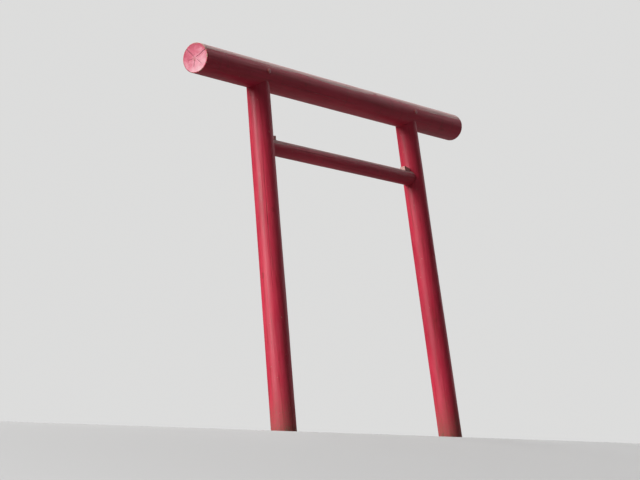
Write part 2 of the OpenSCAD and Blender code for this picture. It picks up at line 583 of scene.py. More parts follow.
def painted_wood(name, along, seed, top_fade_and_sheen, ground, tint=(1.0, 1.0, 1.0)):
    """Red lacquer paint on a planed log: long grain telling through the paint, patches that differ in fade, dust and
    bleaching with a painted highlight on what faces up, rain streaks, paint worn off edges, drying checks painted near
    black as painted shade, and splashed earth and algae at the foot."""
    n = Nodes(name)
    shift = (seed * 3.7, seed * 1.9, seed * 2.3)

    def lay(across, down):
        return n.scaled(*((across, across, down) if along == "z" else (down, across, across)), shift=shift)

    patches = n.noise(lay(3.2, 1.1), 1.0, 3.0, 0.6)
    mottle = n.noise(lay(16, 7), 1.0, 4.0, 0.6)
    grain = n.noise(lay(150, 3.2), 1.0, 3.0, 0.62, 0.25)
    broad = n.noise(lay(42, 1.3), 1.0, 3.0, 0.6, 0.4)
    fine = n.noise(lay(520, 240), 1.0, 2.0, 0.5)
    speck = n.noise(n.scaled(1, 1, 1, shift=shift), 70.0, 4.0, 0.7)

    red = n.ramp(
        patches,
        (0.30, tuple(c * t for c, t in zip((0.330, 0.0100, 0.0310), tint))),
        (0.50, tuple(c * t for c, t in zip((0.425, 0.0140, 0.0420), tint))),
        (0.70, tuple(c * t for c, t in zip((0.520, 0.0230, 0.0560), tint))),
    )
    red = n.mix(n.step(mottle, 0.35, 0.75, 0.0, 0.40), red, tuple(c * t for c, t in zip((0.480, 0.042, 0.076), tint)))
    red = n.mix(n.step(broad, 0.52, 0.72, 0.0, 0.50), red, (0.250, 0.0090, 0.0140))
    red = n.mix(n.step(grain, 0.52, 0.80, 0.0, 0.38), red, (0.560, 0.070, 0.070))
    red = n.mix(n.step(grain, 0.28, 0.42, 0.42, 0.0), red, (0.200, 0.0080, 0.0120))

    # rain streaks run down posts, and round the sides of a beam
    if along == "z":
        run = n.noise(n.scaled(62, 62, 0.9, shift=shift), 1.0, 2.0, 0.5)
    else:
        run = n.noise(n.scaled(34, 1.5, 3.0, shift=shift), 1.0, 3.0, 0.6)
    red = n.mix(n.step(run, 0.56, 0.74, 0.0, 0.34), red, (0.170, 0.0220, 0.0220))

    z = n.xyz()[2]
    up = n.xyz(n.normal())[2]
    rough = n.step(mottle, 0.2, 0.8, 0.42, 0.58)
    rough = n.plus(rough, n.step(grain, 0.3, 0.8, -0.02, 0.07))

    if top_fade_and_sheen:
        # what faces up is paler in streaks along the grain, partly bleached paint and partly a painted highlight for
        # the sheen of the light from above, and it holds dust
        streak = n.noise(lay(34, 2.2), 1.0, 4.0, 0.62, 0.3)
        long = n.noise(lay(9, 1.0), 1.0, 3.0, 0.6)
        breakup = n.plus(n.mul(n.math("SUBTRACT", streak, 0.5), 0.8), n.mul(n.math("SUBTRACT", long, 0.5), 0.6))
        breakup = n.plus(breakup, n.mul(n.math("SUBTRACT", speck, 0.5), 0.25))
        # painted highlight mixed with real bleaching: paint that faces up is lightened to a pale grey-pink
        sky = n.step(n.plus(up, breakup), 0.31, 0.56)
        red = n.mix(n.mul(sky, 0.86 * top_fade_and_sheen), red, n.mix(n.step(grain, 0.3, 0.7), (0.430, 0.272, 0.256), (0.580, 0.432, 0.412)))
        grime = n.step(n.plus(n.mul(up, 0.55), n.noise(lay(30, 5), 1.0, 5.0, 0.72)), 0.95, 1.20)
        red = n.mix(n.mul(grime, 0.50 * top_fade_and_sheen), red, (0.165, 0.140, 0.115))
        rough = n.plus(rough, n.mul(sky, 0.26 * top_fade_and_sheen))
        rough = n.plus(rough, n.mul(grime, 0.25 * top_fade_and_sheen))

    if ground:
        # splashed earth, then algae lowest down
        ragged = n.plus(z, n.mul(n.math("SUBTRACT", n.noise(n.scaled(26, 26, 5.5, shift=shift), 1.0, 4.0, 0.65), 0.5), 0.40))
        splash = n.step(ragged, -0.06, 0.40, 1.0, 0.0)
        red = n.mix(n.mul(splash, 0.50), red, (0.215, 0.080, 0.058))
        drops = n.noise(n.scaled(1, 1, 0.8, shift=shift), 210.0, 3.0, 0.6)
        drops = n.step(n.plus(drops, n.mul(splash, 0.16)), 0.66, 0.74)
        red = n.mix(n.mul(drops, 0.62), red, (0.150, 0.098, 0.066))
        low = n.plus(n.mul(z, 7.0), n.mul(n.noise(n.scaled(1, 1, 0.55, shift=shift), 34.0, 6.0, 0.72), 1.9))
        low = n.step(low, 0.62, 1.45, 1.0, 0.0)
        mossy = n.mix(n.step(speck, 0.4, 0.6), (0.060, 0.066, 0.030), (0.115, 0.105, 0.062))
        red = n.mix(n.mul(low, 0.80), red, mossy)
        rough = n.plus(rough, n.mul(splash, 0.30))
        rough = n.plus(rough, n.mul(low, 0.15))

    # paint worn through on edges and rubbed thin at random
    chip = n.noise(lay(75, 38), 1.0, 5.0, 0.68)
    edge = n.mask("edge")
    worn = n.step(n.plus(n.mul(edge, 0.34), chip), 0.675, 0.715)
    flake = n.mul(n.step(n.noise(lay(120, 34), 1.0, 5.0, 0.7), 0.705, 0.735), n.step(patches, 0.48, 0.62))
    bare = n.math("MAXIMUM", worn, n.mul(flake, 0.8))
    wood = n.ramp(grain, (0.3, (0.30, 0.185, 0.125)), (0.7, (0.47, 0.32, 0.235)))
    red = n.mix(bare, red, wood)
    rough = n.plus(rough, n.mul(bare, 0.35))

    knot = n.mask("knot")
    red = n.mix(n.mul(knot, 0.55), red, (0.150, 0.0120, 0.0120))
    check = n.mask("check")
    # painted shade: the drying checks and a narrow band beside them are coloured near black, for the shade deep in them
    red = n.mix(n.step(check, 0.12, 0.85, 0.0, 0.90), red, (0.045, 0.0080, 0.0075))
    rough = n.plus(rough, n.mul(check, 0.4), clamp=True)

    n.put(n.bsdf.inputs["Base Color"], red)
    n.put(n.bsdf.inputs["Roughness"], rough)
    n.bsdf.inputs["Specular IOR Level"].default_value = 0.33
    n.bsdf.inputs["Coat Weight"].default_value = 0.055
    n.bsdf.inputs["Coat Roughness"].default_value = 0.34
    h = n.bump(broad, 0.0022, 0.65)
    h = n.bump(grain, 0.0012, 0.70, h)
    h = n.bump(fine, 0.00028, 0.5, h)
    h = n.bump(n.mul(bare, -1.0), 0.0007, 0.8, h)
    n.put(n.bsdf.inputs["Normal"], h)
    return n.mat


def end_grain(name, centre, seed, of_pegs=False):
    """Thin, sun-bleached paint on a cut log end, painted paler low down and on the front's side and deeper near the top
    as painted light: growth rings and fine radial rays tell through it, it has worn from the rim, and the checks are
    painted near black as painted shade.
    The rings run round the X axis, or on pegs round the Y axis, with centre[0] their distance from the gate's middle."""
    n = Nodes(name)
    x, y, z = n.xyz()
    if of_pegs:
        dy = n.plus(n.math("ABSOLUTE", n.plus(x, -SPAN / 2)), -centre[0])
    else:
        dy = n.plus(y, -centre[1])
    dz = n.plus(z, -centre[2])
    wob = n.noise(n.scaled(1, 1, 1, shift=(seed, seed, 0)), 14.0, 3.0, 0.5)
    r = n.math("SQRT", n.plus(n.mul(dy, dy), n.mul(dz, dz)))
    rr = n.plus(r, n.mul(n.math("SUBTRACT", wob, 0.5), 0.012))
    ring = n.math("SINE", n.mul(n.math("POWER", rr, 1.12), TAU / 0.0034))
    ring = n.step(ring, -1.0, 1.0, 0.0, 1.0)
    angle = n.math("ARCTAN2", dy, dz)
    comb = n.new("ShaderNodeCombineXYZ")
    n.put(comb.inputs[0], n.mul(angle, 34.0))
    n.put(comb.inputs[1], n.mul(r, 22.0))
    comb.inputs[2].default_value = seed * 1.7
    rays = n.noise(comb.outputs[0], 1.0, 4.0, 0.65)
    blotch = n.noise(n.scaled(1, 1, 1, shift=(0, seed, 0)), 26.0, 4.0, 0.62)
    fine = n.noise(n.scaled(1, 1, 1, shift=(0, seed, 0)), 420.0, 3.0, 0.6)
    # painted light: the end is painted paler low down and on the front's side, as if lit there, and deeper crimson near
    # the top, as if shaded; blotches of uneven bleaching and a deeper rim, where paint from the sides laps over, are
    # the paint's own
    away = n.plus(n.mul(dz, -2.9), n.mul(dy, 0.0 if of_pegs else -1.5))
    fade_and_painted_light = n.plus(n.mul(blotch, 0.85), n.plus(away, 0.120))
    fade_and_painted_light = n.plus(fade_and_painted_light, n.step(r, BEAM_D * 0.42, BEAM_D * 0.49, 0.0, -0.16))
    # the ramp turns this mix of fade and painted light into deep crimson up to pale pink
    col = n.ramp(fade_and_painted_light, (0.26, (0.440, 0.040, 0.090)), (0.44, (0.560, 0.115, 0.180)), (0.64, (0.700, 0.280, 0.350)), (0.86, (0.800, 0.480, 0.530)))
    col = n.mix(n.mul(ring, 0.30), col, (0.430, 0.085, 0.110))
    col = n.mix(n.step(rays, 0.50, 0.72, 0.0, 0.36), col, (0.370, 0.075, 0.090))
    col = n.mix(n.step(rays, 0.28, 0.44, 0.30, 0.0), col, (0.780, 0.430, 0.440))
    heart = n.step(r, 0.004, 0.020, 0.55, 0.0)
    col = n.mix(heart, col, (0.360, 0.100, 0.095))
    edge = n.mask("edge")
    worn = n.step(n.plus(n.mul(edge, 0.30), n.noise(n.scaled(1, 1, 1), 62.0, 5.0, 0.68)), 0.655, 0.715)
    col = n.mix(n.mul(worn, 0.75), col, (0.330, 0.215, 0.160))
    check = n.mask("check")
    # painted shade: the checks, the splits and the middle where they meet are coloured near black, for the shade deep
    # in them
    col = n.mix(n.step(check, 0.08, 0.7, 0.0, 0.95), col, (0.050, 0.016, 0.014))
    n.put(n.bsdf.inputs["Base Color"], col)
    n.put(n.bsdf.inputs["Roughness"], n.step(blotch, 0.2, 0.8, 0.55, 0.78))
    h = n.bump(ring, 0.0005, 0.6)
    h = n.bump(rays, 0.0007, 0.55, h)
    h = n.bump(fine, 0.0003, 0.4, h)
    n.put(n.bsdf.inputs["Normal"], h)
    return n.mat


def bare_wood(name, along, seed, pale=1.0, paint=0.0, wash=0.0):
    """Weathered split or turned softwood. paint is how much of an old coat of thinned red is left on it, and wash how far the rest of it
    is stained by that paint, bleached to pink."""
    n = Nodes(name)
    shift = (seed * 2.1, seed * 5.3, seed * 1.1)
    long = {"x": (5, 120, 120), "y": (120, 5, 120), "z": (120, 120, 5)}[along]
    grain = n.noise(n.scaled(*long, shift=shift), 1.0, 4.0, 0.65, 0.35)
    blotch = n.noise(n.scaled(1, 1, 1, shift=shift), 45.0, 4.0, 0.6)
    fine = n.noise(n.scaled(*(v * 4 for v in long), shift=shift), 1.0, 2.0, 0.5)
    col = n.ramp(grain, (0.30, (0.25 * pale, 0.150 * pale, 0.105 * pale)), (0.52, (0.47 * pale, 0.325 * pale, 0.245 * pale)), (0.74, (0.63 * pale, 0.485 * pale, 0.385 * pale)))
    col = n.mix(n.step(blotch, 0.52, 0.70, 0.0, 0.35), col, (0.24 * pale, 0.185 * pale, 0.150 * pale))
    if wash:
        col = n.mix(n.step(blotch, 0.30, 0.66, wash, 0.55 * wash), col, n.mix(n.step(grain, 0.3, 0.7), (0.560, 0.255, 0.270), (0.790, 0.480, 0.480)))
    if paint:
        left = n.step(n.plus(n.mul(grain, 0.5), n.mul(blotch, 0.7)), 0.78 - 0.42 * paint, 0.92 - 0.42 * paint, 1.0, 0.0)
        left = n.math("SUBTRACT", 1.0, left)
        col = n.mix(n.mul(left, 0.82), col, (0.50, 0.085, 0.085))
    edge = n.mask("edge")
    col = n.mix(n.mul(edge, 0.30), col, (0.66 * pale, 0.54 * pale, 0.45 * pale))
    check = n.mask("check")
    # painted shade: the checks are coloured near black, for the shade deep in them
    col = n.mix(n.step(check, 0.1, 0.8, 0.0, 0.9), col, (0.045, 0.025, 0.018))
    n.put(n.bsdf.inputs["Base Color"], col)
    n.put(n.bsdf.inputs["Roughness"], n.step(grain, 0.2, 0.8, 0.62, 0.85))
    h = n.bump(grain, 0.0009, 0.7)
    h = n.bump(fine, 0.0003, 0.5, h)
    n.put(n.bsdf.inputs["Normal"], h)
    return n.mat


# ------------------------------------------------------------------ the pieces


def post(name, seed, mirror, materials, checks, knots):
    c, s_ = math.cos(LEAN), math.sin(LEAN)
    at = TIE_Z / c
    log = Log(
        (0, 0, 0), (s_, 0, c), (c, 0, -s_), (0, 1, 0), POST_FOOT / 2, TAPER / 2, POST_LEN, seed,
        checks=checks, knots=knots, calm=[(0.0, 0.9, at, 0.085)], bow=0.0012,
    )
    base_twist = log.twist
    log.twist = lambda q: base_twist(q) * smooth(0, 0.2, q) * (1 - smooth(POST_LEN - 0.35, POST_LEN - 0.12, q))
    u = log.columns(150)
    n_cols = len(u)

    # rows up the side, closer together near the foot and under the beam
    t = np.concatenate([
        np.linspace(0, 0.012, 5)[:-1],
        np.linspace(0.012, 0.985, 300),
        np.linspace(0.985, 1, 5)[1:],
    ])
    s_nom = t * (POST_LEN - BEAM_D / 2)
    th = u[None, :] + log.twist(s_nom)[:, None]
    s = np.broadcast_to(s_nom[:, None], th.shape)
    for _ in range(2):
        relief, check, knot = log.masks(th, s)
        r = log.nominal(s) + relief
        lowest = r[0] * np.cos(th[0]) * math.tan(LEAN) + 0.0035
        s_high = (BEAM_H - np.sqrt(COPE_R**2 - (r[-1] * np.sin(th[-1])) ** 2) + r[-1] * np.cos(th[-1]) * s_) / c
        s = lowest[None, :] + (s_high - lowest)[None, :] * t[:, None]
    # the top edge under the beam is eased a little
    r = r - 0.0007 * np.exp(-(((s_high[None, :] - s) / 0.0012) ** 2))
    pts = log.point(th, s, r)
    edge = 0.22 * np.exp(-((s_high[None, :] - s) / 0.004) ** 2)

    def uv_of(th_, s__):
        return np.stack([(th_ + math.pi) / TAU * 0.985 + 0.0075, 0.01 + s__ / POST_LEN * 0.80], -1)

    m = Mesh()
    side = Side(log, m, th, s, uv_of)
    # tie beam and wedge housing on the inner face
    block = side.block(0.0, 0.98, at + 0.008, 0.092)
    ids = m.add(pts, check, knot, edge)
    uv = uv_of(np.concatenate([th, th[:, :1] + TAU], 1), np.concatenate([s, s[:, :1]], 1))
    rows = pts.shape[0] - 1
    m.quads(ids, uv, 0, keep_all_but(rows, n_cols, [block]), closed=True)

    # foot: an eased edge and a flat sawn face
    hub_xy = np.array([0.0, 0.0, 0.0])
    ring_prev, last_uv = ids[0], uv[0]
    for k, f in enumerate((0.965, 0.9, 0.7, 0.45, 0.2)):
        base = pts[0] * np.array([f, f, 0])
        new = m.add(base)
        disc = np.stack([0.12 + 0.085 * f * np.cos(np.append(th[0], th[0][0])), 0.91 + 0.085 * f * np.sin(np.append(th[0], th[0][0]))], -1)
        start = last_uv if k else np.stack([0.12 + 0.086 * np.cos(np.append(th[0], th[0][0])), 0.91 + 0.086 * np.sin(np.append(th[0], th[0][0]))], -1)
        m.quads(np.stack([new, ring_prev]), np.stack([disc, start]), 0 if k == 0 else 1, closed=True)
        ring_prev, last_uv = new, disc
    hub = m.add(hub_xy[None])[0]
    m.fan(ring_prev, hub, last_uv, np.array([0.12, 0.91]), 1, flip=True)

    # cope under the beam, then the square tenon
    top_th = th[-1]
    square = np.array([[1, -1], [1, 1], [-1, 1], [-1, -1]]) * (TENON_W / 2 - 0.0004)
    a_sq, rad = star(top_th, square)
    sq = np.stack([rad * np.cos(a_sq), rad * np.sin(a_sq)], 1)
    rim = np.stack([r[-1] * np.cos(top_th), r[-1] * np.sin(top_th)], 1)
    ring_prev = ids[-1]
    mid = np.array([0.34, 0.91])

    def disc_of(xy):
        uvs = mid + xy / (POST_TOP / 2) * 0.085
        return np.concatenate([uvs, uvs[:1]])

    last_uv = disc_of(rim)
    for f in (0.3, 0.65, 1.0):
        xy = rim + (sq - rim) * f
        s_cope = (BEAM_H - np.sqrt(COPE_R**2 - xy[:, 1] ** 2) + xy[:, 0] * s_) / c
        new = m.add(log.o + s_cope[:, None] * log.a + xy[:, :1] * log.e1 + xy[:, 1:] * log.e2)
        m.quads(np.stack([ring_prev, new]), np.stack([last_uv, disc_of(xy)]), 1, closed=True)
        ring_prev, last_uv = new, disc_of(xy)
    s_top = POST_LEN + TENON_RISE
    up = np.linspace(0, 1, 13)[:, None]
    s_wall = s_cope + (s_top - 0.003 - s_cope) * up
    wall_pts = log.o + s_wall[..., None] * log.a + (sq[:, :1] * log.e1 + sq[:, 1:] * log.e2)[None]
    wall = np.concatenate([ring_prev[None], m.add(wall_pts[1:])])
    corner = [int(np.argmin(np.abs(a_sq - q))) for q in (-0.75 * math.pi, -0.25 * math.pi, 0.25 * math.pi, 0.75 * math.pi)]
    faces = [(-1, (corner[0], corner[1], 0, 12)), (1, (corner[2], corner[3], 0, 12))]
    wall_uv = np.stack(np.broadcast_arrays(np.linspace(0.47, 0.72, n_cols + 1)[None, :], 0.86 + 0.10 * up), -1)
    m.quads(wall, wall_uv, 1, keep_all_but(12, n_cols, [b for _, b in faces]), closed=True)
    edges = []
    for way, b in faces:
        flat = np.stack(np.broadcast_arrays(-way * sq[None, :, 0], s_wall - POST_LEN), -1)

        def place(xy, way=way):
            return log.o + (POST_LEN + xy[:, 1:]) * log.a - way * xy[:, :1] * log.e1 + way * (TENON_W / 2 - 0.0004) * log.e2

        edges.append((place(np.stack([np.cos(PORTHOLE), np.sin(PORTHOLE)], 1) * (PEG_D / 2 + 0.0001)), porthole(m, wall, b, flat, place, 1, (0.745, 0.88 if way < 0 else 0.95))))
    # the bore from one face of the tenon to the other
    match = (24 - np.arange(48)) % 48
    (near_pts, near_ids), (far_pts, far_ids) = edges[1], (edges[0][0][match], edges[0][1][match])
    inner = m.add(near_pts + (far_pts - near_pts) * np.linspace(0, 1, 5)[1:-1, None, None])
    bore = np.concatenate([near_ids[None], inner, far_ids[None]])
    bore_uv = np.stack(np.broadcast_arrays(np.linspace(0.86, 0.89, 49)[None, :], np.linspace(0.95, 0.98, 5)[:, None]), -1)
    m.quads(bore, bore_uv, 1, closed=True)
    ring_prev = wall[-1]
    mid = np.array([0.80, 0.91])
    last_uv = disc_of(sq)
    for f in (0.93, 0.5):
        xy = sq * f
        new = m.add(log.o + s_top * log.a + xy[:, :1] * log.e1 + xy[:, 1:] * log.e2)
        m.quads(np.stack([ring_prev, new]), np.stack([last_uv, disc_of(xy)]), 1, closed=True)
        last_uv = disc_of(xy)
        ring_prev = new
    hub = m.add((log.o + s_top * log.a)[None])[0]
    m.fan(ring_prev, hub, last_uv, mid, 1)

    # the housing: a round hole with a slot on top for the wedge
    z_slot = SEAT_Z + WEDGE_TIP + (WEDGE_HEAD - WEDGE_TIP) * TIE_HOUSING / (TIE_HOUSING + WEDGE_OUT) - TIE_Z
    round_ = TIE_D / 2
    half = WEDGE_W / 2 + 0.0004
    start = math.asin(half / round_)
    arc = np.linspace(math.pi / 2 - start, math.pi / 2 + start - TAU, 120)
    outline = [(round_ * math.cos(a), round_ * math.sin(a)) for a in arc]
    outline += [(-half, z_slot + 0.0004), (half, z_slot + 0.0004)]
    outline = np.array(outline)[::-1]
    corners = [outline[0], outline[1], (half, round_ * math.cos(start)), (-half, round_ * math.cos(start))]

    def to_surface(yz):
        y_, z_ = yz[:, 0], yz[:, 1] + TIE_Z
        th_, s__ = np.zeros(len(y_)), z_ / c
        for _ in range(8):
            rel, _, _ = log.masks(th_, s__)
            rr = log.nominal(s__) + rel
            ce = log.centre(s__) - s__[:, None] * log.a
            th_ = np.arcsin(np.clip((y_ - ce[:, 1]) / rr, -0.99, 0.99))
            s__ = (z_ + rr * np.cos(th_) * s_ - ce[:, 2]) / c
        return th_, s__

    def plane_of(th_, s__):
        p, _, _, _ = log.surface(th_, s__)
        return np.stack([p[:, 1], p[:, 2] - TIE_Z], 1)

    def ends(yz, top):
        return np.stack([np.full(len(yz), TIE_END_X), yz[:, 0], yz[:, 1] + TIE_Z], 1)

    hole(side, ids, block, plane_of, to_surface, outline, corners, ends, 7, 1, uv_at=(0.90, 0.86))
    ob = m.build(name + "_log", materials, mirror=mirror)
    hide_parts(name)
    return ob


def top_beam(materials, checks, knots, end_checks):
    x0 = SPAN / 2 - BEAM_L / 2
    mortise_x = (TOP_POST_X, SPAN - TOP_POST_X)
    calm = [(0.0, 1.0, x - x0, 0.11) for x in mortise_x]
    calm += [(side * math.pi / 2, 0.22, x - x0, 0.024) for x in mortise_x for side in (1, -1)]
    log = Log(
        (x0, 0, BEAM_H), (1, 0, 0), (0, 0, -1), (0, 1, 0), BEAM_D / 2, 0.0, BEAM_L, 41,
        checks=checks, knots=knots, calm=calm, bow=0.0,
    )
    u = log.columns(150)
    n_cols = len(u)
    e = BEAM_CHAMFER
    s = np.concatenate([np.linspace(e, 0.03, 6)[:-1], np.linspace(0.03, BEAM_L - 0.03, 352), np.linspace(BEAM_L - 0.03, BEAM_L - e, 6)[1:]])
    th = u[None, :] + (log.twist(s) * 0.6)[:, None]
    # checks and knots ride on the same twist
    real_twist = log.twist
    log.twist = lambda q: real_twist(q) * 0.6
    s2 = np.broadcast_to(s[:, None], th.shape).copy()
    pts, r, check, knot = log.surface(th, s2)
    edge = 0.30 * (np.exp(-((s2 - e) / 0.006) ** 2) + np.exp(-((BEAM_L - e - s2) / 0.006) ** 2))

    def uv_of(th_, s__):
        return np.stack([(th_ + math.pi) / TAU * 0.985 + 0.0075, 0.01 + s__ / BEAM_L * 0.78], -1)

    m = Mesh()
    side = Side(log, m, th, s2, uv_of)
    blocks, jobs = [], []
    for x in mortise_x:
        lean = LEAN if x < SPAN / 2 else -LEAN
        b = side.block(0.0, 0.56, x - x0, 0.062)
        blocks.append(b)
        jobs.append(("mortise", b, x, lean))
        for way in (1, -1):
            b = side.block(way * math.pi / 2, 0.27, x - x0, 0.027)
            blocks.append(b)
            jobs.append(("peg", b, x, way))
    ids = m.add(pts, check, knot, edge)
    uv = uv_of(np.concatenate([th, th[:, :1] + TAU], 1), np.concatenate([s2, s2[:, :1]], 1))
    m.quads(ids, uv, 0, keep_all_but(len(s) - 1, n_cols, blocks), closed=True)

    # ends: a rounded arris, then the face with its radial checks
    for low in (True, False):
        row = 0 if low else -1
        sign = -1 if low else 1
        th_e, r_e = th[row], r[row]
        mid = np.array([0.11 if low else 0.33, 0.90])
        x_face = x0 if low else x0 + BEAM_L

        def disc_of(rad):
            uvs = mid + np.stack([rad / (BEAM_D / 2) * 0.09 * np.cos(th_e), rad / (BEAM_D / 2) * 0.09 * np.sin(th_e)], 1)
            return np.concatenate([uvs, uvs[:1]])

        ring_prev, last_uv = ids[row], disc_of(r_e * 1.01)
        steps = [(e * (1 - math.cos(q)), e * (1 - math.sin(q)), 0) for q in np.radians([22, 45, 68, 90])]
        faces = [(e + d, 0.0, 1) for d in np.concatenate([[0.0015, 0.004], np.linspace(0.008, BEAM_D / 2 - e - 0.004, 27)])]
        seed = 71 if low else 73
        k_end = 0
        for inward, back, slot in steps + faces:
            rad = r_e * (1 - inward / (BEAM_D / 2)) if slot else r_e - inward
            x = x_face + sign * (-back)
            c_, n_ = np.cos(th_e), np.sin(th_e)
            depth = np.zeros(n_cols)
            mask = np.zeros(n_cols)
            if slot:
                saw = 0.00022 * noise(rad * c_ * 28 + 4, rad * n_ * 190, seed * 0.3, seed) + 0.00035 * fbm(rad * c_ * 22, rad * n_ * 22, seed, seed + 1, 2)
                depth = depth + 0.0004 + saw
                for angle, r_in, r_out, deep, half in end_checks[0 if low else 1]:
                    tt = np.clip((rad - r_in) / (r_out - r_in), 0, 1)
                    prof = np.sin(math.pi * np.clip(tt * 0.75 + 0.1, 0, 1)) ** 0.7 * (tt > 0) * (tt < 1) if r_out < 0.09 else (tt ** 0.5) * (tt > 0)
                    wander = 0.0009 * noise(rad * 60, angle * 3, 0.3, seed + 7)
                    d = np.abs(((th_e - log.twist(np.array(0.0 if low else BEAM_L)) - angle + math.pi) % TAU - math.pi) * rad + wander)
                    w = half * (0.35 + 0.65 * prof)
                    depth = depth + deep * prof * (1 - np.clip(d / w, 0, 1)) ** 0.8
                    mask = np.maximum(mask, np.clip(1.25 * (1 - d / (w * 1.2)), 0, 1) * (prof > 0.02))
            else:
                mask = check[row]
            p = log.o + np.zeros((n_cols, 1)) * log.a + (rad * c_)[:, None] * log.e1 + (rad * n_)[:, None] * log.e2
            p[:, 0] = x - sign * depth
            edge_v = 0.46 if not slot else (0.40 if k_end == 4 else (0.20 if k_end == 5 else 0.0))
            new = m.add(p, mask, 0, edge_v)
            new_uv = disc_of(rad)
            if low:
                m.quads(np.stack([new, ring_prev]), np.stack([new_uv, last_uv]), slot, closed=True)
            else:
                m.quads(np.stack([ring_prev, new]), np.stack([last_uv, new_uv]), slot, closed=True)
            ring_prev, last_uv = new, new_uv
            k_end += 1
        hub = m.add(np.array([[x_face - sign * 0.0006, 0, BEAM_H]]), 0.4)[0]
        m.fan(ring_prev, hub, last_uv, mid, 1, flip=low)

    # mortises for the post tenons in the underside, and peg holes from both sides into them
    portholes = {}
    for k, (kind, block, x, q) in enumerate(jobs):
        if kind == "mortise":
            tl = math.tan(q)

            def to_surface(xy, x=x, tl=tl):
                y_ = xy[:, 1]
                th_ = np.zeros(len(y_))
                s__ = xy[:, 0] + x - x0
                for _ in range(8):
                    rel, _, _ = log.masks(th_, s__)
                    rr = log.nominal(s__) + rel
                    th_ = np.arcsin(np.clip(y_ / rr, -0.99, 0.99))
                    s__ = xy[:, 0] + x - tl * rr * np.cos(th_) - x0
                return th_, s__

            def plane_of(th_, s__, x=x, tl=tl):
                p, _, _, _ = log.surface(th_, s__)
                return np.stack([p[:, 0] - x + tl * (BEAM_H - p[:, 2]), p[:, 1]], 1)

            def ends(xy, top, x=x, tl=tl):
                h = TENON_RISE + 0.001
                return np.stack([xy[:, 0] + x + tl * h, xy[:, 1], np.full(len(xy), BEAM_H + h)], 1)

            w = TENON_W / 2 / math.cos(q)
            outline = np.array([[w, TENON_W / 2], [w, -TENON_W / 2], [-w, -TENON_W / 2], [-w, TENON_W / 2]])

            def windows(edge, outline=outline):
                at = [int(np.argmin(np.linalg.norm(edge - c, axis=1))) for c in outline]
                return [(at[1], at[2], 0, 12), (at[3], len(edge), 0, 12)]

            wall, wall_pts, _, gaps = hole(side, ids, block, plane_of, to_surface, outline, outline, ends, 5, 2, uv_at=(0.46 + 0.09 * (k > 2), 0.82), rows=12, first=outline[0], windows=windows)
            for way, b in zip((-1, 1), gaps):
                flat = np.stack([way * (wall_pts[..., 0] - x), wall_pts[..., 2] - BEAM_H], -1)

                def place(xz, way=way, x=x):
                    return np.stack([x + way * xz[:, 0], np.full(len(xz), way * TENON_W / 2), BEAM_H + xz[:, 1]], 1)

                portholes[(round(x, 3), way)] = porthole(m, wall, b, flat, place, 2, (0.48 + 0.04 * (way > 0) + 0.09 * (k > 2), 0.93))
        else:

            def to_surface(xz, x=x, q=q):
                # xz[:, 1] is height over the axis
                z_ = xz[:, 1]
                s__ = xz[:, 0] + x - x0
                th_ = np.full(len(z_), q * math.pi / 2)
                for _ in range(8):
                    rel, _, _ = log.masks(th_, s__)
                    rr = log.nominal(s__) + rel
                    th_ = q * (math.pi / 2 + np.arcsin(np.clip(z_ / rr, -0.99, 0.99)))
                return th_, s__

            def plane_of(th_, s__, x=x):
                p, _, _, _ = log.surface(th_, s__)
                return np.stack([p[:, 0] - x, p[:, 2] - BEAM_H], 1)

            def ends(xz, top, x=x, q=q):
                return np.stack([xz[:, 0] + x, np.full(len(xz), q * (TENON_W / 2 + 0.004)), xz[:, 1] + BEAM_H], 1)

            ring = np.linspace(0, TAU, 96, endpoint=False)
            outline = np.stack([np.cos(ring), np.sin(ring)], 1) * (PEG_D / 2 + 0.0001)
            uv_at = (0.66 + 0.05 * (k % 3) + 0.1 * (k > 2), 0.82)
            wall, _, edge_xy, _ = hole(side, ids, block, plane_of, to_surface, outline, [], ends, 4, 2, chamfer=0.0006, uv_at=uv_at, uv_size=0.02, rows=3, bottom=False)
            around = np.arctan2(edge_xy[:, 1], -q * edge_xy[:, 0])
            strip = np.stack([uv_at[0] + (around % TAU) / TAU * 0.04, np.full(len(around), uv_at[1] + 0.012)], 1)
            beyond = (math.pi - PORTHOLE)[::-1]
            strip_in = np.stack([uv_at[0] + (beyond % TAU) / TAU * 0.04, np.full(48, uv_at[1] + 0.016)], 1)
            m.zipped(wall[-1, :-1], around, portholes[(round(x, 3), q)][::-1], beyond, strip, strip_in, 2)
    ob = m.build("top_beam_log", materials)
    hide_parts("top_beam")
    return ob


